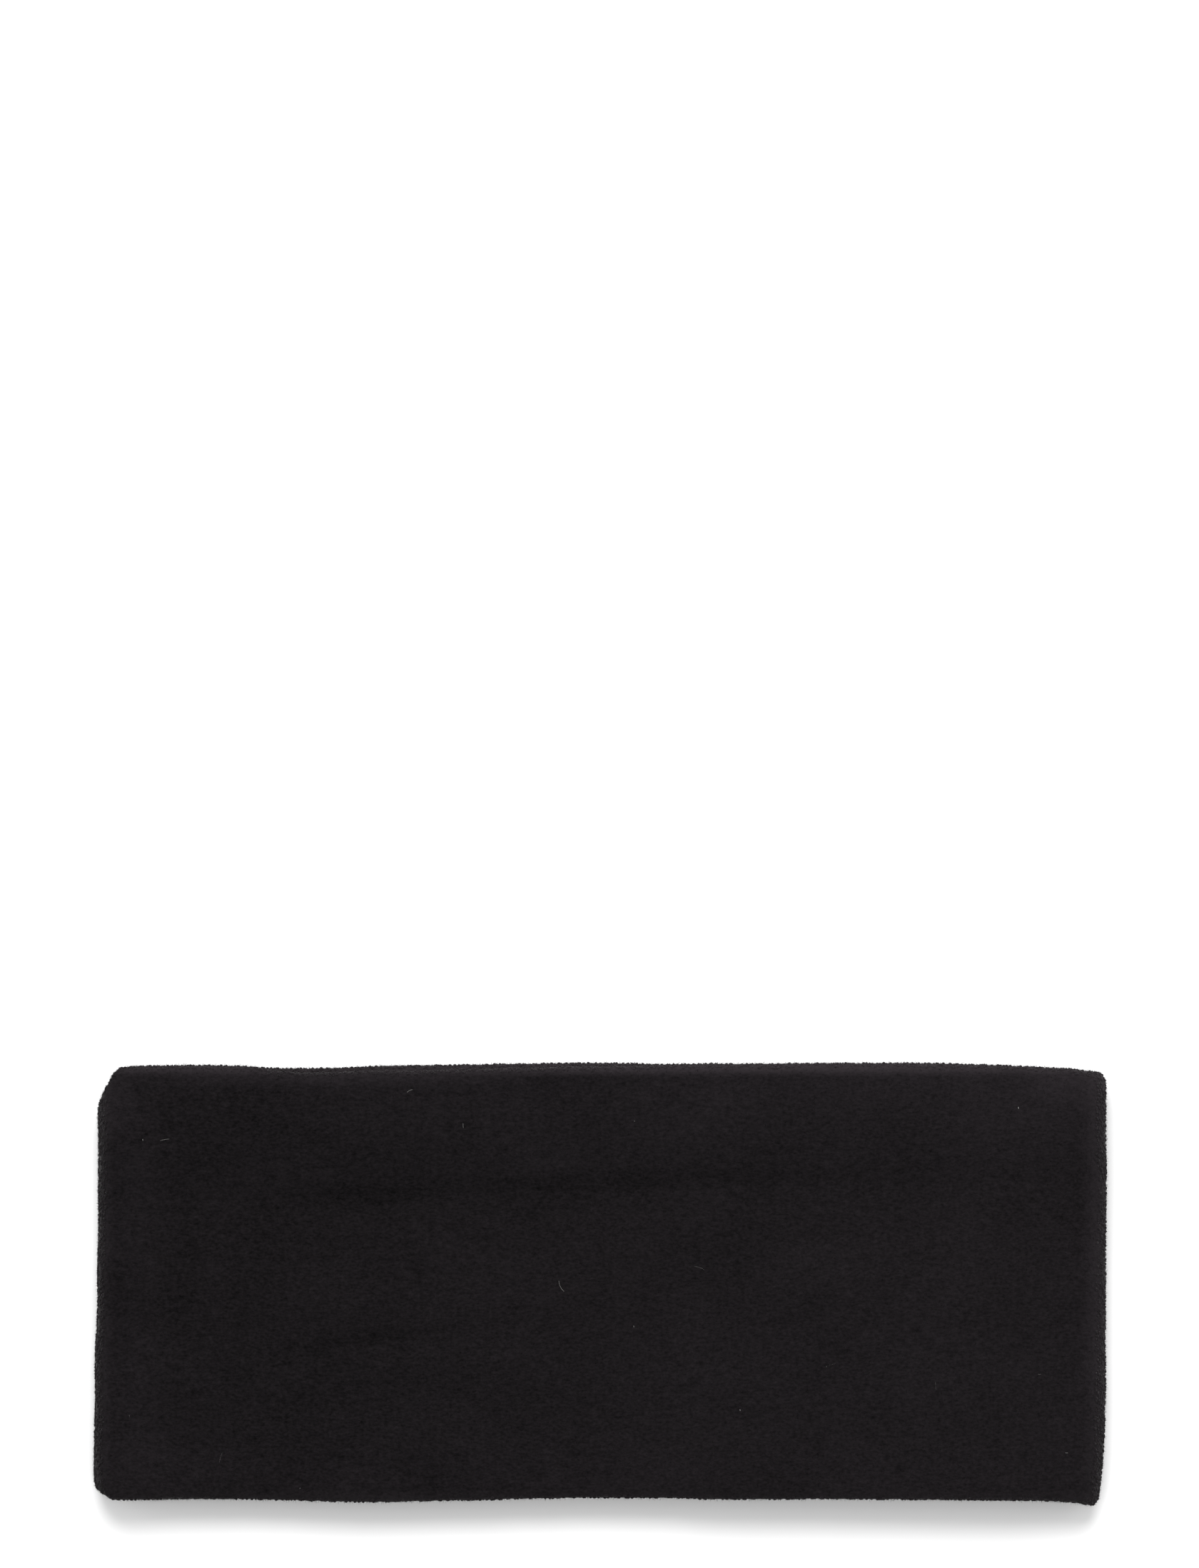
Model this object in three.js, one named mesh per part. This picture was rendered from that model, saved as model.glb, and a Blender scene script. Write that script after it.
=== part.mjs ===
// An ear warmer headband: one loop of black fleece, sewn double, lying flat on a table.
// Sizes are in millimetres. +X runs along the flattened loop from its left fold to its right
// fold, +Y across the band from its lower edge to its upper edge, and +Z up from the table.
// The origin is on the table, under the middle of the band.

import * as THREE from 'three';
import { ParametricGeometry } from 'three/addons/geometries/ParametricGeometry.js';

// The loop, lying flat.
const flatLength = 245; // from the tip of one fold to the tip of the other
const bandWidth = 104.8; // from one edge of the cloth to the other
const wallThickness = 3; // two plies of fleece sewn as one wall
const layerGap = 5.2; // clear height between the lower and the upper layer
const leftFoldReach = 5; // how far in from its tip a fold turns over
const rightFoldReach = 9;
const edgeRoll = 2.6; // how far in from the edge the turned cloth rounds off

// The outline's small departures from a rectangle.
const edgeWave = 1; // how far the edges wander
const endSlant = 2.2; // how far the tips of the folds lean in
const endSlantReach = 24; // the length over which that lean fades away
const upperLeftPull = 9; // how far each corner of a fold draws in along its tip; minus is out
const upperRightPull = 0.8;
const lowerLeftPull = 2.4;
const lowerRightPull = -0.8;
const cornerFullness = 1.3; // over 1, the drawn-in corners bulge, and at 1 they are straight

// The relief of the upper layer.
const rollRise = 2.8; // height of the soft roll that lies along the upper edge
const rollWidth = 35.5; // from the roll's crease line to where it would be flat again, past the edge
const edgeDroop = 2.6; // how far the cloth beyond the crease line hangs down towards the edge
const lowerEdgeLift = 2; // how far the lower edge stands up above the flat
const lowerEdgeReach = 48; // the width of cloth, up from the lower edge, that rises with it
const seamWidth = 17; // the doubled strip beside the closing seam, in the left fold
const seamRise = 0.8;
const seamFade = 9; // the length over which the doubled strip runs out
const seamGrooveDepth = 0.5; // the sewn line itself, down the outside of the left fold
const seamGrooveStart = 0.6; // where on the way from the flat to the fold's tip it begins
const dentDepth = 0.8; // deepest of the shallow dents

// How finely the cloth is divided.
const upperColumns = 34;
const lowerColumns = 20;
const foldColumns = 10;
const outerFlatRows = 17; // from the lower edge up to the crease line
const outerRollRows = 9; // from the crease line up to the upper edge
const innerFlatRows = 10;
const innerRollRows = 5;
const edgeRows = 5;
const rowCrowding = 1.5; // over 1, the rows lie closer together towards the crease line

// The edges, in rows along the loop. "along" is a share of flatLength from the middle, and the
// rest are shares of edgeWave, outwards.
const edgeSections = [
  { along: -0.5, upperFront: 0, upperBack: 0, lowerFront: -0.2, lowerBack: -0.2 },
  { along: -0.4, upperFront: 0.2, upperBack: -0.4, lowerFront: -0.5, lowerBack: 0 },
  { along: -0.35, upperFront: 0, upperBack: -0.6, lowerFront: -0.3, lowerBack: -0.2 },
  { along: -0.3, upperFront: -1.8, upperBack: -0.9, lowerFront: 0, lowerBack: -0.6 },
  { along: -0.2, upperFront: -1.1, upperBack: -0.1, lowerFront: 0.3, lowerBack: -0.4 },
  { along: -0.1, upperFront: -0.7, upperBack: 0.2, lowerFront: -0.3, lowerBack: -0.8 },
  { along: 0, upperFront: 0, upperBack: 0.7, lowerFront: -0.7, lowerBack: -1.2 },
  { along: 0.1, upperFront: 0.4, upperBack: -0.3, lowerFront: -0.5, lowerBack: -1 },
  { along: 0.2, upperFront: 0.6, upperBack: 0, lowerFront: -0.4, lowerBack: -0.8 },
  { along: 0.3, upperFront: 0.7, upperBack: 0.1, lowerFront: -0.3, lowerBack: -0.3 },
  { along: 0.4, upperFront: 0.1, upperBack: -0.4, lowerFront: -0.4, lowerBack: 0.3 },
  { along: 0.44, upperFront: -0.6, upperBack: -0.7, lowerFront: -0.2, lowerBack: 0.5 },
  { along: 0.5, upperFront: -1.1, upperBack: -1, lowerFront: 0.3, lowerBack: 0.8 },
];

// The tips of the folds, in rows across the band. "up" is a share of bandWidth from the middle,
// and the rest are shares of endSlant, outwards.
const tipSections = [
  { up: -0.5, left: -0.05, right: -0.7 },
  { up: -0.42, left: 0, right: -0.35 },
  { up: -0.34, left: -0.08, right: -0.15 },
  { up: -0.2, left: -0.16, right: -0.05 },
  { up: 0, left: -0.4, right: 0.05 },
  { up: 0.2, left: -0.5, right: 0 },
  { up: 0.5, left: -0.5, right: 0 },
];

// The roll along the upper edge, in rows along the loop: "up" places its crease line as a share
// of bandWidth from the middle, "rise" and "droop" are shares of rollRise and edgeDroop, and
// "softness" is under 1 where the roll climbs steeply out of its crease and over 1 where it
// climbs without one.
const rollSections = [
  { along: -0.5, up: 0.194, rise: 0.5, droop: 0.2, softness: 1.3 },
  { along: -0.35, up: 0.195, rise: 0.9, droop: 0.2, softness: 0.9 },
  { along: -0.19, up: 0.208, rise: 1, droop: 0.3, softness: 0.75 },
  { along: 0, up: 0.222, rise: 0.95, droop: 0.5, softness: 0.8 },
  { along: 0.22, up: 0.244, rise: 0.85, droop: 0.8, softness: 0.95 },
  { along: 0.4, up: 0.24, rise: 0.7, droop: 1, softness: 1.2 },
  { along: 0.5, up: 0.236, rise: 0.6, droop: 1, softness: 1.4 },
];

// How the lower edge of the upper layer rises and sinks along the loop: "lift" is a share of
// lowerEdgeLift. The long shadow beside the right half shows that the band stands up there.
const lowerEdgeSections = [
  { along: -0.5, lift: 0.2 },
  { along: -0.43, lift: 0.1 },
  { along: -0.33, lift: -0.2 },
  { along: -0.22, lift: 0.1 },
  { along: -0.1, lift: -0.1 },
  { along: 0.02, lift: -0.2 },
  { along: 0.14, lift: 0.6 },
  { along: 0.26, lift: 0.75 },
  { along: 0.38, lift: 1 },
  { along: 0.5, lift: 0.5 },
];

// Shallow dents in the upper layer. "along" and "reach" are shares of flatLength, "up" and
// "spread" are shares of bandWidth, "depth" is a share of dentDepth, and "lean" tilts the dent.
const dents = [
  { along: -0.233, up: -0.115, reach: 0.12, spread: 0.07, depth: 0.7, lean: 0.02 },
  { along: -0.245, up: -0.243, reach: 0.17, spread: 0.11, depth: 0.8, lean: -0.04 },
  { along: 0.405, up: -0.286, reach: 0.05, spread: 0.2, depth: 0.9, lean: 0 },
  { along: 0.28, up: -0.35, reach: 0.08, spread: 0.12, depth: 0.5, lean: 0.5 },
  { along: 0.06, up: -0.04, reach: 0.2, spread: 0.12, depth: 0.35, lean: 0.05 },
];

const halfLength = flatLength / 2;
const halfWidth = bandWidth / 2;
const halfWall = wallThickness / 2;
const foldHalfHeight = (wallThickness + layerGap) / 2;
const columns = upperColumns + lowerColumns + 2 * foldColumns;
const rows = outerFlatRows + outerRollRows + innerRollRows + innerFlatRows + 2 * edgeRows;

const { clamp, lerp, smoothstep } = THREE.MathUtils;

// Reads one column of a table of sections at any place between its rows, without kinks.
function readSections(sections, key, place, column) {
  const last = sections.length - 1;
  if (place <= sections[0][key]) return sections[0][column];
  if (place >= sections[last][key]) return sections[last][column];
  const next = sections.findIndex((section) => section[key] > place);
  const before = sections[next - 1];
  const after = sections[next];
  return lerp(before[column], after[column], smoothstep(place, before[key], after[key]));
}

// One place on the middle of the wall, going round the loop: along the upper layer, over the
// right fold, back along the lower layer and over the left fold. "lift" is 0 on the lower layer
// and 1 on the upper one, "tip" is 1 at the tip of a fold and 0 on the flat layers.
function placeOnLoop(step) {
  const leftTurn = -halfLength + leftFoldReach;
  const rightTurn = halfLength - rightFoldReach;
  const middle = halfWall + foldHalfHeight;

  function fold(turn, reach, side, angle) {
    const across = reach - halfWall;
    const normal = new THREE.Vector2(side * Math.cos(angle) / across, Math.sin(angle) / foldHalfHeight);
    return {
      x: turn + side * across * Math.cos(angle),
      z: middle + foldHalfHeight * Math.sin(angle),
      normal: normal.normalize(),
      lift: (1 + Math.sin(angle)) / 2,
      tip: side * (1 - Math.pow(Math.abs(angle) / (Math.PI / 2), cornerFullness)),
    };
  }

  function layer(x, side) {
    const z = middle + side * foldHalfHeight;
    return { x, z, normal: new THREE.Vector2(0, side), lift: (1 + side) / 2, tip: 0 };
  }

  const spans = [
    { size: upperColumns, at: (t) => layer(lerp(leftTurn, rightTurn, t), 1) },
    { size: foldColumns, at: (t) => fold(rightTurn, rightFoldReach, 1, Math.PI * (0.5 - t)) },
    { size: lowerColumns, at: (t) => layer(lerp(rightTurn, leftTurn, t), -1) },
    { size: foldColumns, at: (t) => fold(leftTurn, leftFoldReach, -1, Math.PI * (t - 0.5)) },
  ];
  return readSpans(spans, step);
}

// One place on the section through the wall, going round it: up the outer face, over the upper
// edge, down the inner face and round the lower edge. "across" is -1 at the lower edge, 0 on the
// crease line and 1 at the upper edge, and "turn" is the way that the surface faces there.
function placeOnWall(step) {
  const crowd = (t) => Math.pow(t, rowCrowding);
  const spans = [
    { size: outerFlatRows, at: (t) => ({ across: -crowd(1 - t), turn: 0 }) },
    { size: outerRollRows, at: (t) => ({ across: crowd(t), turn: 0 }) },
    { size: edgeRows, at: (t) => ({ across: 1, turn: Math.PI * t }) },
    { size: innerRollRows, at: (t) => ({ across: crowd(1 - t), turn: Math.PI }) },
    { size: innerFlatRows, at: (t) => ({ across: -crowd(t), turn: Math.PI }) },
    { size: edgeRows, at: (t) => ({ across: -1, turn: Math.PI * (1 + t) }) },
  ];
  return readSpans(spans, step);
}

// Finds the span that a step falls in, and the place in it. The last span ends where the first
// one starts.
function readSpans(spans, step) {
  const total = spans.reduce((sum, span) => sum + span.size, 0);
  let rest = (((step % total) + total) % total);
  for (const span of spans) {
    if (rest < span.size) return span.at(rest / span.size);
    rest -= span.size;
  }
  return spans[0].at(0);
}

// The upper and the lower edge of the cloth at a place on the loop.
function edgesAt(place) {
  const along = place.x / flatLength;
  const wave = (front, back) => edgeWave * lerp(
    readSections(edgeSections, 'along', along, back),
    readSections(edgeSections, 'along', along, front),
    place.lift,
  );
  const pull = (left, right) => (place.tip < 0 ? -place.tip * left : place.tip * right);
  return {
    upper: halfWidth + wave('upperFront', 'upperBack') - pull(upperLeftPull, upperRightPull),
    lower: -halfWidth - wave('lowerFront', 'lowerBack') + pull(lowerLeftPull, lowerRightPull),
  };
}

// How far the tips of the folds lean in at a height on the band, fading away along the loop.
function tipShift(x, y) {
  const up = y / bandWidth;
  const side = x < 0 ? 'left' : 'right';
  const slant = endSlant * readSections(tipSections, 'up', up, side);
  const fade = smoothstep(Math.abs(x), halfLength - endSlantReach, halfLength);
  return Math.sign(x) * slant * fade;
}

// The height on the band of the roll's crease line.
function creaseAt(x) {
  return bandWidth * readSections(rollSections, 'along', x / flatLength, 'up');
}

// Height of the roll along the upper edge.
function rollHeight(x, y) {
  const share = (column) => readSections(rollSections, 'along', x / flatLength, column);
  const climb = clamp((y - creaseAt(x)) / rollWidth, 0, 1);
  const arch = Math.pow(Math.sin(Math.PI * climb), share('softness'));
  return rollRise * share('rise') * arch - edgeDroop * share('droop') * climb * climb;
}

// Height by which the cloth near the lower edge of the upper layer stands above the flat.
function lowerEdgeHeight(x, y) {
  const share = readSections(lowerEdgeSections, 'along', x / flatLength, 'lift');
  return lowerEdgeLift * share * (1 - smoothstep(y + halfWidth, 0, lowerEdgeReach));
}

// Height of the doubled strip beside the closing seam.
function seamHeight(x) {
  const fromTip = x + halfLength;
  return seamRise * (1 - smoothstep(fromTip, seamWidth - seamFade / 2, seamWidth + seamFade / 2));
}

// Depth of one shallow oval dent, which fades to nothing at its rim.
function dentHeight(dent, x, y) {
  const away = x / flatLength - dent.along;
  const off = y / bandWidth - dent.up - dent.lean * away;
  const radius = Math.hypot(away / dent.reach, off / dent.spread);
  return -dentDepth * dent.depth * (1 - smoothstep(radius, 0, 1));
}

function reliefAt(x, y) {
  const dented = dents.reduce((sum, dent) => sum + dentHeight(dent, x, y), 0);
  return rollHeight(x, y) + lowerEdgeHeight(x, y) + seamHeight(x) + dented;
}

// The sewn line down the outside of the left fold: deepest at the fold's tip.
function seamGroove(place, turn) {
  const outside = Math.max(0, Math.cos(turn));
  const closeness = smoothstep(-place.tip, seamGrooveStart, 1);
  return seamGrooveDepth * closeness * outside;
}

// The skin of the band: u runs round the loop and v round the section of its wall.
function bandSkin(u, v, target) {
  const place = placeOnLoop(u * columns);
  const wall = placeOnWall(v * rows);
  const edges = edgesAt(place);
  const edge = wall.across < 0 ? edges.lower + edgeRoll : edges.upper - edgeRoll;
  const y = lerp(creaseAt(place.x), edge, Math.abs(wall.across)) + edgeRoll * Math.sin(wall.turn);
  const offset = halfWall * Math.cos(wall.turn) - seamGroove(place, wall.turn);
  const relief = place.lift * reliefAt(place.x, y);
  const x = place.x + tipShift(place.x, y) + place.normal.x * offset;
  const z = place.z + relief + place.normal.y * offset;
  target.set(x, y, z);
}

function makeFleeceBand() {
  const geometry = new ParametricGeometry(bandSkin, columns, rows);
  geometry.computeBoundingBox();
  const middle = geometry.boundingBox.getCenter(new THREE.Vector3());
  const blackFleece = new THREE.MeshStandardMaterial({ color: 0x1d1b1d, roughness: 1, metalness: 0 });
  const band = new THREE.Mesh(geometry, blackFleece);
  band.name = 'fleece_band';
  band.position.set(-middle.x, -middle.y, 0);
  return band;
}

const headband = new THREE.Group();
headband.name = 'ear_warmer_headband';
headband.add(makeFleeceBand());

export default headband;
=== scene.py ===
# %% [markdown]
# This lesson dresses an ear warmer headband: a loop of black micro-fleece, sewn double and lying
# flat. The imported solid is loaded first, as a fixed frame. It has the true size and form of the
# cloth, so every piece made here takes its place from it, and nothing is fitted afterwards.

# %% Load the frame
import math

import bmesh
import bpy
from mathutils import Matrix, Vector, noise
from mathutils.bvhtree import BVHTree


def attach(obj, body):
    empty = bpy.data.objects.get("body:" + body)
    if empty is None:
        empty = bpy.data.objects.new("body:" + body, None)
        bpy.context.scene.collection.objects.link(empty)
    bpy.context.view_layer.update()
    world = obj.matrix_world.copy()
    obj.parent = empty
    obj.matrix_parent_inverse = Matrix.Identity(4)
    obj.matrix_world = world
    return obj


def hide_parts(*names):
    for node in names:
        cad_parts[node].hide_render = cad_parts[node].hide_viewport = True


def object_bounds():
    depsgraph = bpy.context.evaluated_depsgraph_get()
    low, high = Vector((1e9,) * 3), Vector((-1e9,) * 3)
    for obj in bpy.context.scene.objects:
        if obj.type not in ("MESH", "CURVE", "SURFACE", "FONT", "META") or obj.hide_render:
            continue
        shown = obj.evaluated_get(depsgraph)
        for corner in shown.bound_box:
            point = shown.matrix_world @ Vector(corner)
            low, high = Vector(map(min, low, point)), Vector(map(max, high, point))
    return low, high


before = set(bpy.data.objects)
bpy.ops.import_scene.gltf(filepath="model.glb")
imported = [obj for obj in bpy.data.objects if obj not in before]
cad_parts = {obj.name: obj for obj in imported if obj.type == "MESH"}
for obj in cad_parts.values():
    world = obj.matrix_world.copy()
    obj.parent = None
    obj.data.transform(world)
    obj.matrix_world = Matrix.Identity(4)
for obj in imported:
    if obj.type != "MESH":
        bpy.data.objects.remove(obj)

MM = 0.001
cad_low, cad_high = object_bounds()
band_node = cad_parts["fleece_band"]
print("the packed band measures", [round(side / MM, 1) for side in cad_high - cad_low], "mm")

# %% [markdown]
# The band is seen from straight above, low in an upright picture. A camera could be tilted or
# shifted to put it there, but a tilt would turn the outline into a wedge. So the camera looks
# straight down through a very long lens, and it is moved sideways until the band is in its place.

# %% The camera
PICTURE_WIDTH, PICTURE_HEIGHT = 1680, 2197  # the photograph's frame, in pixels
BAND_LEFT, BAND_RIGHT = 133, 1550  # where the band's two folds end in it
BAND_TOP, BAND_BOTTOM = 1492, 2109  # where its two edges are
CAMERA_HEIGHT = 4.0  # metres above the band's highest point
SENSOR = 36.0  # millimetres, the unit of Blender's lenses

pixel = (cad_high.x - cad_low.x) / (BAND_RIGHT - BAND_LEFT)
band_middle = (cad_low + cad_high) / 2
picture_left = band_middle.x - (BAND_LEFT + BAND_RIGHT) / 2 * pixel
picture_top = band_middle.y + (BAND_TOP + BAND_BOTTOM) / 2 * pixel


def at_pixel(column, row):
    """The place on the band's own ground plan that lies under a pixel of the picture."""
    return Vector((picture_left + column * pixel, picture_top - row * pixel, 0))


camera_data = bpy.data.cameras.new("camera")
camera_data.sensor_width = SENSOR
camera_data.lens = SENSOR * CAMERA_HEIGHT / (PICTURE_HEIGHT * pixel)
camera_data.clip_end = 3 * CAMERA_HEIGHT
camera = bpy.data.objects.new("camera", camera_data)
camera.location = at_pixel(PICTURE_WIDTH / 2, PICTURE_HEIGHT / 2)
camera.location.z = cad_high.z + CAMERA_HEIGHT
bpy.context.scene.collection.objects.link(camera)
bpy.context.scene.camera = camera
print("one pixel is", round(pixel / MM, 4), "mm, and the lens", round(camera_data.lens), "mm")

# %% [markdown]
# Materials are built from nodes, and so is the scatter of fibres further down. Written one by
# one, the Math nodes of even a short formula fill a page. A small class wraps a socket instead
# and gives it those of Python's own operators that are needed here, so that a formula reads as
# one and each operator adds its Math node. Every other node comes from one method, which looks
# sockets up by their names.

# %% Sockets that can be calculated with
class Wire:
    """An output socket of a node, which takes part in Python expressions."""

    def __init__(self, graph, socket):
        self.graph, self.socket = graph, socket

    def output(self, name):
        return Wire(self.graph, self.graph.find(self.socket.node.outputs, name))

    def math(self, operation, first, second):
        return self.graph.node("ShaderNodeMath", {"operation": operation}, {0: first, 1: second})

    def __add__(self, other):
        return self.math("ADD", self, other)

    def __radd__(self, other):
        return self.math("ADD", other, self)

    def __rsub__(self, other):
        return self.math("SUBTRACT", other, self)

    def __mul__(self, other):
        return self.math("MULTIPLY", self, other)


class Graph:
    """A tree of nodes under construction."""

    def __init__(self, tree):
        self.tree = tree
        tree.nodes.clear()

    def find(self, sockets, name):
        """A socket by its number or name; of several alike, the one that is in use."""
        if isinstance(name, int):
            return sockets[name]
        return next(socket for socket in sockets if socket.name == name and socket.enabled)

    def node(self, kind, settings, sockets):
        """Adds a node: its settings are set first, then its sockets get values or links."""
        made = self.tree.nodes.new(kind)
        for name, value in settings.items():
            setattr(made, name, value)
        for name, value in sockets.items():
            socket = self.find(made.inputs, name)
            if isinstance(value, Wire):
                self.tree.links.new(value.socket, socket)
            else:
                socket.default_value = value
        if made.outputs:
            return Wire(self, next(socket for socket in made.outputs if socket.enabled))


def new_material(name):
    material = bpy.data.materials.new(name)
    material.use_nodes = True
    return material, Graph(material.node_tree)

# %% [markdown]
# Micro-fleece is brushed until its knit disappears under a felt of fine curls, which clump into
# soft pills a little over a millimetre across. A photographed texture would fit one piece of cloth
# only, so three noises make the finish here: the pills, a finer grain of single fibres between
# them, and long strokes where hands have brushed the nap. The first two are bumps, and all three
# move the colour a little between a deep and a worn black. Painted light and shade, filled in
# further down, moves it between the same two: towards the worn black as painted highlights, and
# towards the deep black as painted shade. The sheen stands for the loose fibres that catch light
# at the edges. A plain gloss would look like rubber, so it is almost off.

# %% The fleece
PILL = 1.7 * MM
PILL_HEIGHT = 0.2 * MM
PILL_STRETCH = (0.62, 1, 1)  # pills are drawn out along the loop, the way the cloth was brushed
FIBRE_GRAIN = 0.6 * MM
GRAIN_HEIGHT = 0.15 * MM
STROKE = 16 * MM
CURL_SHARE = 0.5  # how much the curls add to the pills
ROUGH, ROUGH_SPREAD = 0.85, 0.2
# the pale end of this ramp also carries the painted highlights, and the deep end the painted shade
DEEP_BLACK = (0.0012, 0.0010, 0.0011, 1)
WORN_AND_LIT_BLACK = (0.0192, 0.0160, 0.0182, 1)
PILL_SHADE, GRAIN_SHADE, STROKE_SHADE = 0.18, 0.7, 0.2  # how far each moves the black
MIDDLE_SHADE = -0.326  # this brings the middle of the cloth to the right black
# painted light and shade: the patches further down paint the rims and the roll paler, the crease
# darker
PAINTED_LIGHT_AND_SHADE = "painted_light_and_shade"  # an attribute of the cloth, which is filled in further down


def make_fleece():
    material, graph = new_material("black_fleece")
    place = graph.node("ShaderNodeTexCoord", {}, {}).output("Object")
    place = graph.node("ShaderNodeMapping", {}, {"Vector": place, "Scale": PILL_STRETCH})
    pills = graph.node("ShaderNodeTexNoise", {}, {
        "Vector": place, "Scale": 1 / PILL, "Detail": 2, "Roughness": 0.5, "Distortion": 0.4,
    }).output("Fac")
    curls = graph.node("ShaderNodeTexVoronoi", {}, {"Vector": place, "Scale": 1 / PILL})
    grain = graph.node("ShaderNodeTexNoise", {}, {
        "Vector": place, "Scale": 1 / FIBRE_GRAIN, "Detail": 2, "Roughness": 0.6,
    }).output("Fac")
    strokes = graph.node("ShaderNodeTexNoise", {}, {
        "Vector": place, "Scale": 1 / STROKE, "Detail": 3,
    }).output("Fac")
    # the painted light and shade, which the patches further down put on the cloth
    shade = graph.node("ShaderNodeAttribute", {"attribute_name": PAINTED_LIGHT_AND_SHADE}, {}).output("Fac")
    lumps = pills + (1 - curls) * CURL_SHARE
    relief = graph.node("ShaderNodeBump", {}, {
        "Height": lumps, "Strength": 1, "Distance": PILL_HEIGHT,
    })
    relief = graph.node("ShaderNodeBump", {}, {
        "Height": grain, "Strength": 1, "Distance": GRAIN_HEIGHT, "Normal": relief,
    })
    mottle = lumps * PILL_SHADE + grain * GRAIN_SHADE + strokes * STROKE_SHADE
    colour = graph.node("ShaderNodeMix", {"data_type": "RGBA"}, {
        "Factor": mottle + shade + MIDDLE_SHADE, "A": DEEP_BLACK, "B": WORN_AND_LIT_BLACK,
    })
    surface = graph.node("ShaderNodeBsdfPrincipled", {}, {
        "Base Color": colour, "Roughness": ROUGH + grain * ROUGH_SPREAD, "Normal": relief,
        "Specular IOR Level": 0.04, "Sheen Weight": 0.1, "Sheen Roughness": 0.4,
    })
    graph.node("ShaderNodeOutputMaterial", {}, {"Surface": surface})
    return material


fleece = make_fleece()
print("the fleece's finish has", len(fleece.node_tree.nodes), "nodes")

# %% [markdown]
# The visible cloth could be drawn anew, but then every fold would exist twice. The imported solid
# has them already, so the cloth starts from a copy of its mesh. That copy is loose triangles:
# their corners are merged, and pairs of triangles are joined back to the four-sided faces that a
# subdivision surface rounds best.

# %% The cloth's form
MERGE = 0.001 * MM  # points nearer than this are one point
SMOOTH_LEVELS = 2


def add_piece(shape, name, material):
    """Turns a bmesh into an object with a finish, and frees the bmesh."""
    mesh = bpy.data.meshes.new(name)
    for face in shape.faces:
        face.smooth = True
    shape.to_mesh(mesh)
    shape.free()
    mesh.materials.append(material)
    piece = bpy.data.objects.new(name, mesh)
    bpy.context.scene.collection.objects.link(piece)
    return piece


def apply_modifiers(piece):
    """Replaces a piece's mesh with what its modifiers make of it."""
    seen = piece.evaluated_get(bpy.context.evaluated_depsgraph_get())
    mesh = bpy.data.meshes.new_from_object(seen)
    piece.modifiers.clear()
    piece.data = mesh


def form_cloth():
    shape = bmesh.new()
    shape.from_mesh(band_node.data)
    bmesh.ops.remove_doubles(shape, verts=shape.verts, dist=MERGE)
    bmesh.ops.join_triangles(
        shape, faces=shape.faces, angle_face_threshold=math.pi, angle_shape_threshold=math.pi
    )
    print("the copy has", len(shape.faces), "faces after joining")
    piece = add_piece(shape, "fleece_cloth", fleece)
    rounding = piece.modifiers.new("rounding", "SUBSURF")
    rounding.levels = rounding.render_levels = SMOOTH_LEVELS
    apply_modifiers(piece)
    return piece


cloth = form_cloth()
print("rounded, it has", len(cloth.data.polygons), "faces")

# %% [markdown]
# Light falls so that black fleece is never equally black: it looks paler at the rims, along the
# roll and over the right half, and darker in the crease and over the left half. The lamps alone
# leave it more even, so these places get painted light and shade in the colour. Noise can't know
# these places, and painting a texture of them by hand gives a picture that nobody can edit. So a
# short table lists soft oval patches. Each has its middle in pixels of the picture, how far it
# reaches along the band and across it, how much its line leans, what it adds to the painted light
# and shade, and how deep it presses the cloth, in millimetres. The sum of their shades goes into
# the attribute that the fleece reads.

# %% Painted light and shade
PATCH_COLUMNS = ("column", "row", "reach_along", "reach_up", "lean", "shade", "depth")
PATCHES = [dict(zip(PATCH_COLUMNS, row)) for row in (
    # painted light: the right half paler, the left half darker, and the roll along the upper edge
    # paler
    (1500, 1750, 700, 900, 0, 0.04, 0), (330, 1780, 420, 700, 0, -0.05, 0),
    (1480, 1520, 480, 110, 0, 0.08, 0), (980, 1555, 200, 80, 0, 0.07, 0),
    # painted shade in the crease below the roll
    (490, 1674, 190, 28, -0.03, -0.06, 0), (850, 1654, 300, 26, -0.038, -0.1, 0),
    (1200, 1646, 330, 30, 0, -0.02, 0), (800, 1684, 260, 32, -0.05, -0.07, 0),
    (410, 1692, 100, 26, 0, -0.025, 0),
    # the strip beside the closing seam painted paler, and the cloth next to it painted darker
    (200, 1780, 50, 560, 0, 0.05, 0), (270, 1610, 140, 70, 0, -0.04, 0),
    (265, 1755, 50, 110, 0, -0.04, 0),
    # painted shade along the thin fold lower down, which is also pressed in, and paler and darker
    # places round it
    (512, 1879, 205, 14, -0.115, -0.07, 0.3), (640, 1938, 160, 56, 0, -0.07, 0),
    (380, 1935, 110, 40, 0, 0.04, 0),
    # more places painted paler and darker
    (690, 1780, 130, 70, 0, 0.05, 0), (240, 2060, 190, 60, 0, 0.09, 0),
    (150, 1540, 60, 80, 0, 0.2, 0), (1130, 1850, 150, 90, 0, -0.025, 0),
    (1242, 1984, 50, 80, 0, -0.035, 0), (1402, 2000, 16, 60, 0, -0.04, 0),
    # painted highlights along the rims: upper, lower, right and left
    (845, 1493, 2400, 18, 0, 0.75, 0), (450, 1509, 330, 20, 0, 0.2, 0),
    (1500, 1510, 90, 60, 0, 0.2, 0), (845, 2106, 2400, 20, 0, 0.22, 0),
    (1552, 1720, 42, 900, 0, 0.4, 0), (138, 1780, 26, 440, 0, 0.18, 0),
)]


def patch_weight(patch, place):
    """1 in the middle of a soft oval patch, and 0 at its rim and beyond."""
    middle = at_pixel(patch["column"], patch["row"])
    along = (place.x - middle.x) / pixel
    up = (middle.y - place.y) / pixel - patch["lean"] * along
    away = math.hypot(along / patch["reach_along"], up / patch["reach_up"])
    return max(0, 1 - away ** 2) ** 2  # the square makes it end without an edge


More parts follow.
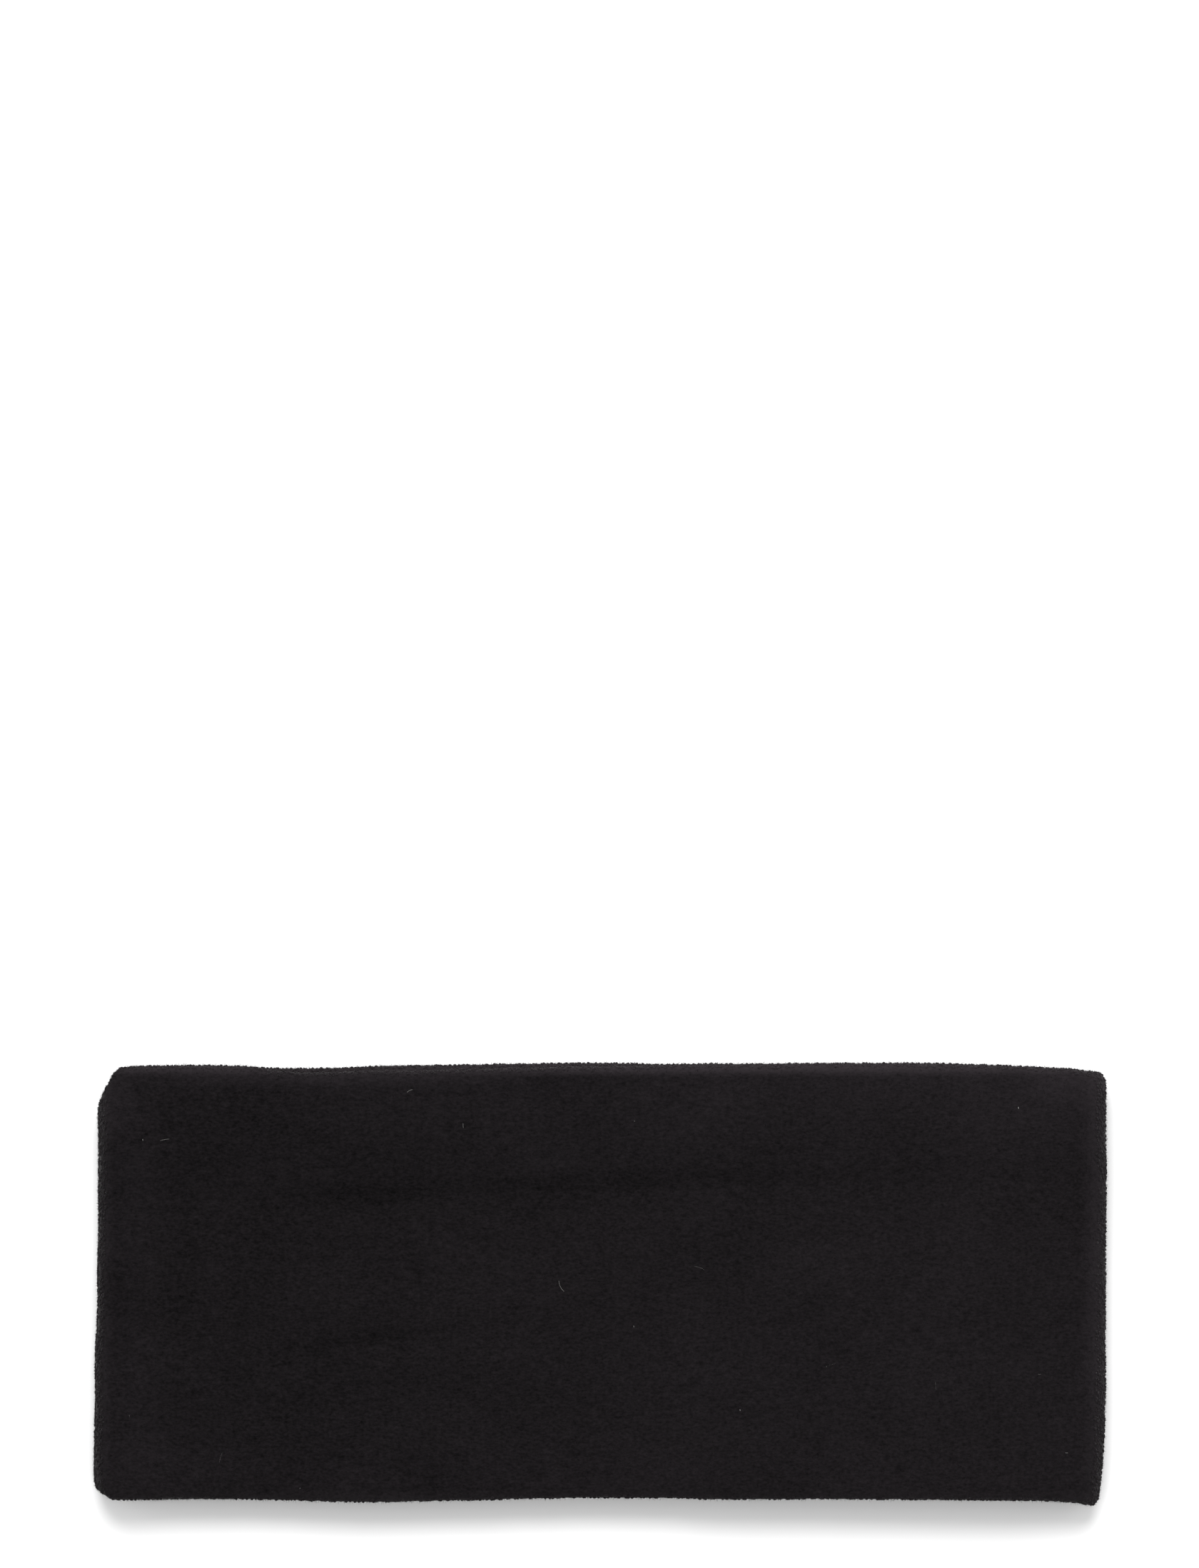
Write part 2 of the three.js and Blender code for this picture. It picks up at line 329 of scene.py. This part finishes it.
def sum_patches(column, point):
    """What the patches of the upper side add up to at a point of a mesh."""
    if point.normal.z <= 0:
        return 0
    return sum(patch[column] * patch_weight(patch, point.co) for patch in PATCHES if patch[column])


def paint_light_and_shade(piece):
    """Writes each point's painted light and shade into the attribute, and returns the palest and
    the darkest.
    """
    shades = [sum_patches("shade", point) for point in piece.data.vertices]
    piece.data.attributes.new(PAINTED_LIGHT_AND_SHADE, "FLOAT", "POINT").data.foreach_set("value", shades)
    return max(shades), min(shades)


print("the palest and the darkest shade are", [round(shade, 2) for shade in paint_light_and_shade(cloth)])

# %% [markdown]
# Cloth is never as even as a drawing of it: the nap is thicker here and thinner there, and the
# edges wobble. A simulation could find such an unevenness, but the band lies pressed flat, and its
# few real folds are in the form already. So each point only moves a little along its normal: by
# the depth of the nap, which makes up for what the rounding took off the edges, by two sizes of
# smooth noise, and by the depth of the patches. What lies on the table stays flat on it.

# %% Small unevenness
NAP_DEPTH = 0.35 * MM
UNEVEN = ((15 * MM, 0.22 * MM), (5 * MM, 0.12 * MM))  # how wide each swell is, and how high


def ruffle(piece):
    """Moves the points along their normals, and returns the longest move."""
    moves = []
    for point in piece.data.vertices:
        swell = sum(height * noise.noise(point.co / width) for width, height in UNEVEN)
        swell -= sum_patches("depth", point) * MM
        moves.append(point.normal * (NAP_DEPTH + swell))
    for point, move in zip(piece.data.vertices, moves):
        point.co += move
        point.co.z = max(point.co.z, cad_low.z)
    piece.data.update()
    return max(move.length for move in moves)


print("the cloth's points move by up to", round(ruffle(cloth) / MM, 2), "mm")

# %% [markdown]
# Against a pale background, the pills of the nap make the outline nubby, and the loose fibres that
# stand out of it blur it. They are needed on the outside only: in the hollow they would just make
# the mesh heavier. The height of a face doesn't tell where it looks, because the loop is open at
# both edges. A ray does: a face whose normal meets the cloth again looks into the hollow.

# %% The outer skin
HOLLOW_DEPTH = 20 * MM  # how far a ray looks for the other side of the hollow
CLEARANCE = 0.1 * MM  # how far off its own face it starts
RIM_LEVEL = 0.8  # a face whose normal rises less than this belongs to a rim


def outer_skin(piece, keep):
    """A copy of the faces that look outwards and that keep() accepts."""
    shape = bmesh.new()
    shape.from_mesh(piece.data)
    tree = BVHTree.FromBMesh(shape)
    hidden = []
    for face in shape.faces:
        start = face.calc_center_median() + face.normal * CLEARANCE
        meets = tree.ray_cast(start, face.normal, HOLLOW_DEPTH)[0] is not None
        if meets or not keep(face):
            hidden.append(face)
    bmesh.ops.delete(shape, geom=hidden, context="FACES")
    return shape


rims = outer_skin(cloth, lambda face: abs(face.normal.z) < RIM_LEVEL)
flats = outer_skin(cloth, lambda face: face.normal.z >= RIM_LEVEL)
print("outside, the rims have", len(rims.faces), "faces, and the top has", len(flats.faces))

# %% [markdown]
# Particle hair could make the fibres, but it leaves no mesh behind. Geometry Nodes can scatter
# copies of a small mesh instead, and the same scatter also sows the pills. A fibre is a slim cone
# with a bent tip, and a pill is a ball sunk into the cloth. Each copy takes over the painted light
# and shade from the face that it stands on, so the pills are as pale or dark as the cloth under
# them. The fibres on the rims get a paler black than those on the top: a painted highlight for the
# light that shines through them.

# %% A scatter of pills and fibres
FIBRE_SIDES = 3
# painted highlight: the rims' fibres get a paler black for the light that shines through them
LIT_FIBRE = (0.024, 0.0205, 0.0195, 1)  # at a rim, light shines through the single fibres
DARK_FIBRE = (0.0060, 0.0050, 0.0057, 1)
FIBRE_TIP = 0.9  # the share of a fibre's length at which its tip begins
PILL_SPLITS = 1
SMALLEST, LARGEST = 0.5, 1.2  # the sizes of the copies, as shares of their model's


def make_fibre_finish(name, colour):
    material, graph = new_material(name)
    surface = graph.node("ShaderNodeBsdfPrincipled", {}, {
        "Base Color": colour, "Roughness": 0.9, "Specular IOR Level": 0.02,
    })
    graph.node("ShaderNodeOutputMaterial", {}, {"Surface": surface})
    return material


def make_fibre(length, thickness):
    """One fibre along +Z: a slim cone, cut once across and bent over at its tip."""
    shape = bmesh.new()
    bmesh.ops.create_cone(
        shape, cap_ends=True, segments=FIBRE_SIDES, radius1=thickness / 2, radius2=0,
        depth=length, matrix=Matrix.Translation((0, 0, length / 2)),
    )
    bmesh.ops.remove_doubles(shape, verts=shape.verts, dist=MERGE)
    bmesh.ops.bisect_plane(
        shape, geom=shape.verts[:] + shape.edges[:] + shape.faces[:],
        plane_co=(0, 0, length / 2), plane_no=(0, 0, 1),
    )
    tips = [point for point in shape.verts if point.co.z > FIBRE_TIP * length]
    bmesh.ops.translate(shape, verts=tips, vec=(length / 3, 0, -length / 6))
    return add_piece(shape, "fibre", fleece)


def make_pill(radius, stands_out):
    """A ball that is sunk into the cloth, so that only a low cap of it shows."""
    shape = bmesh.new()
    bmesh.ops.create_icosphere(
        shape, subdivisions=PILL_SPLITS, radius=radius,
        matrix=Matrix.Translation((0, 0, stands_out - radius)),
    )
    return add_piece(shape, "pill", fleece)


def scatter(name, skin, model, finish, per_mm2, lean, seed):
    """Spreads copies of a model over a skin, turned, sized and leaned (radians) at random."""
    carpet = add_piece(skin, name, fleece)
    group = bpy.data.node_groups.new(name, "GeometryNodeTree")
    group.interface.new_socket("Skin", in_out="INPUT", socket_type="NodeSocketGeometry")
    group.interface.new_socket("Nap", in_out="OUTPUT", socket_type="NodeSocketGeometry")
    graph = Graph(group)
    surface = graph.node("NodeGroupInput", {}, {})
    points = graph.node("GeometryNodeDistributePointsOnFaces", {}, {
        "Mesh": surface, "Density": per_mm2 / MM ** 2, "Seed": seed,
    })
    turn = graph.node("FunctionNodeRandomValue", {"data_type": "FLOAT_VECTOR"}, {
        "Min": (-lean, -lean, -math.pi), "Max": (lean, lean, math.pi), "Seed": seed,
    })
    upright = graph.node("FunctionNodeRotateRotation", {"rotation_space": "LOCAL"}, {
        "Rotation": points.output("Rotation"), "Rotate By": turn,
    })
    size = graph.node("FunctionNodeRandomValue", {}, {
        "Min": SMALLEST, "Max": LARGEST, "Seed": seed + 1,
    })
    form = graph.node("GeometryNodeObjectInfo", {}, {"Object": model}).output("Geometry")
    copies = graph.node("GeometryNodeInstanceOnPoints", {}, {
        "Points": points, "Instance": form, "Rotation": upright, "Scale": size,
    })
    real = graph.node("GeometryNodeRealizeInstances", {}, {"Geometry": copies})
    graph.node("NodeGroupOutput", {}, {"Nap": real})
    carpet.modifiers.new(name, "NODES").node_group = group
    apply_modifiers(carpet)
    for point in carpet.data.vertices:
        point.co.z = max(point.co.z, cad_low.z)
    carpet.data.materials.clear()
    carpet.data.materials.append(finish)
    return carpet


fibre = make_fibre(length=0.9 * MM, thickness=0.07 * MM)
pill = make_pill(radius=0.42 * MM, stands_out=0.32 * MM)
lit_fibre = make_fibre_finish("lit_fibre", LIT_FIBRE)
dark_fibre = make_fibre_finish("dark_fibre", DARK_FIBRE)
rim_pills = scatter("pills_of_rims", rims.copy(), pill, fleece, per_mm2=1.7, lean=0.3, seed=3)
rim_nap = scatter("nap_of_rims", rims, fibre, lit_fibre, per_mm2=3.9, lean=0.9, seed=7)
top_nap = scatter("nap_of_top", flats, fibre, dark_fibre, per_mm2=0.7, lean=1.3, seed=11)
for model in (fibre, pill):
    bpy.data.objects.remove(model)
for nap in (rim_pills, rim_nap, top_nap):
    print(nap.name, "has", len(nap.data.polygons), "faces")

# %% [markdown]
# Dark fleece shows every bit of lint. Each one could be a speck in the material, but a speck has
# no thickness. A short hair is as quick to model: a tiny ring of points is spun about a centre
# beside it, which draws a curved tube, and its two ends are closed. The list gives where each one
# lies in the picture, its length and thickness in millimetres, its curl in radians, and the way
# it points in degrees.

# %% The lint
LINT_SIDES = 5
LINT_STEPS = 6
LINT_LIFT = 0.1 * MM  # it lies on the tips of the nap
GREY_LINT = (0.06, 0.06, 0.06, 1)
PALE_LINT = (0.25, 0.245, 0.235, 1)
LINT_COLUMNS = ("column", "row", "length", "thickness", "curl", "turn")
LINT = [dict(zip(LINT_COLUMNS, row)) for row in (
    (783, 1795, 3.0, 0.06, 0.85, 2), (578, 1527, 2.6, 0.07, 1.57, -90),
    (237, 1596, 2.2, 0.06, 0.4, -90), (200, 1596, 0.4, 0.13, 0.3, 0),
    (649, 1574, 1.1, 0.06, 0.4, -8), (888, 1858, 0.4, 0.10, 0.3, 0),
    (889, 1570, 0.3, 0.06, 0.3, 0), (1427, 1551, 0.5, 0.16, 0.3, 0),
    (1037, 1975, 0.4, 0.11, 0.3, 0), (420, 2085, 0.3, 0.06, 0.3, 0),
    (181, 1983, 0.5, 0.035, 0.3, 0), (1493, 2036, 0.6, 0.075, 0.3, 80),
    (987, 1780, 2.5, 0.028, 0.7, -130), (1171, 1911, 2.3, 0.014, 0.2, -80),
    (1158, 1914, 0.4, 0.05, 0.3, 0), (1455, 1926, 0.6, 0.05, 0.3, 82),
    (1311, 1937, 2.1, 0.02, 0.1, 0), (312, 2035, 2.7, 0.018, 0.4, -30),
)]


def make_lint_finish():
    material, graph = new_material("lint")
    place = graph.node("ShaderNodeTexCoord", {}, {}).output("Object")
    dust = graph.node("ShaderNodeTexNoise", {}, {"Vector": place, "Scale": 1 / PILL, "Detail": 1})
    colour = graph.node("ShaderNodeMix", {"data_type": "RGBA"}, {
        "Factor": dust.output("Fac"), "A": GREY_LINT, "B": PALE_LINT,
    })
    surface = graph.node("ShaderNodeBsdfPrincipled", {}, {
        "Base Color": colour, "Roughness": 0.9, "Specular IOR Level": 0.2,
    })
    graph.node("ShaderNodeOutputMaterial", {}, {"Surface": surface})
    return material


def add_hair(shape, hair, tree):
    """Adds one hair, which lies on the cloth under its pixel."""
    first, first_edge = len(shape.verts), len(shape.edges)
    bmesh.ops.create_circle(
        shape, segments=LINT_SIDES, radius=hair["thickness"] * MM / 2,
        matrix=Matrix.Rotation(math.pi / 2, 4, "X"),
    )
    shape.verts.ensure_lookup_table()
    shape.edges.ensure_lookup_table()
    ring = shape.verts[first:] + shape.edges[first_edge:]
    radius = hair["length"] * MM / hair["curl"]
    bmesh.ops.spin(
        shape, geom=ring, cent=(radius, 0, 0), axis=(0, 0, 1), angle=hair["curl"],
        steps=LINT_STEPS,
    )
    above = at_pixel(hair["column"], hair["row"]) + Vector((0, 0, 2 * cad_high.z))
    place = tree.ray_cast(above, Vector((0, 0, -1)))[0] + Vector((0, 0, LINT_LIFT))
    turn = Matrix.Rotation(math.radians(hair["turn"]), 4, "Z")
    shape.verts.ensure_lookup_table()
    bmesh.ops.transform(shape, matrix=Matrix.Translation(place) @ turn, verts=shape.verts[first:])


def lay_lint(piece):
    skin = bmesh.new()
    skin.from_mesh(piece.data)
    tree = BVHTree.FromBMesh(skin)
    skin.free()
    shape = bmesh.new()
    for hair in LINT:
        add_hair(shape, hair, tree)
    bmesh.ops.holes_fill(shape, edges=shape.edges, sides=LINT_SIDES)
    bmesh.ops.recalc_face_normals(shape, faces=shape.faces)
    return add_piece(shape, "lint", make_lint_finish())


lint = lay_lint(cloth)
print("the lint is", len(LINT), "hairs with", len(lint.data.polygons), "faces")

# %% [markdown]
# The band lies on a plain white table. The picture is lit by one large soft lamp from beyond the
# band's upper edge, which throws a short soft shadow to this side of it, by two weak lamps at its
# sides, and by white walls all round. An area lamp would leave the far parts of the table grey. A
# wide sun lamp gives the same light at every place, so the table stays evenly white.

# %% The table and the light
TABLE_SIZE = 8.0
TABLE_WHITE = (0.85, 0.85, 0.85, 1)
WALL_LIGHT = 0.82
LAMP_COLUMNS = ("name", "strength", "spread", "tilt", "turn")  # the last three in degrees
LAMPS = [dict(zip(LAMP_COLUMNS, row)) for row in (
    ("back_lamp", 3.1, 40, 43, 3),
    ("left_lamp", 0.7, 50, 65, 80),
    ("right_lamp", 0.45, 50, 65, -80),
)]


def make_table():
    material, graph = new_material("white_table")
    surface = graph.node("ShaderNodeBsdfDiffuse", {}, {"Color": TABLE_WHITE})
    graph.node("ShaderNodeOutputMaterial", {}, {"Surface": surface})
    shape = bmesh.new()
    bmesh.ops.create_grid(shape, x_segments=1, y_segments=1, size=TABLE_SIZE / 2)
    return add_piece(shape, "table", material)


def make_light():
    for row in LAMPS:
        lamp_data = bpy.data.lights.new(row["name"], "SUN")
        lamp_data.energy = row["strength"]
        lamp_data.angle = math.radians(row["spread"])
        lamp = bpy.data.objects.new(row["name"], lamp_data)
        lamp.rotation_euler = (-math.radians(row["tilt"]), 0, math.radians(row["turn"]))
        bpy.context.scene.collection.objects.link(lamp)
    world = bpy.data.worlds.new("white_walls")
    world.use_nodes = True
    graph = Graph(world.node_tree)
    walls = graph.node("ShaderNodeBackground", {}, {
        "Color": (1, 1, 1, 1), "Strength": WALL_LIGHT,
    })
    graph.node("ShaderNodeOutputWorld", {}, {"Surface": walls})
    bpy.context.scene.world = world


make_table()
make_light()
bpy.context.scene.view_settings.view_transform = "Standard"
print("the table is lit by", len(LAMPS), "lamps and by white walls")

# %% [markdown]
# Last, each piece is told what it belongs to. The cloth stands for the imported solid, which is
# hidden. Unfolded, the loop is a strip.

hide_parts("fleece_band")
loose = [rim_pills, rim_nap, top_nap, lint]
for piece in [cloth] + loose:
    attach(piece, "root")
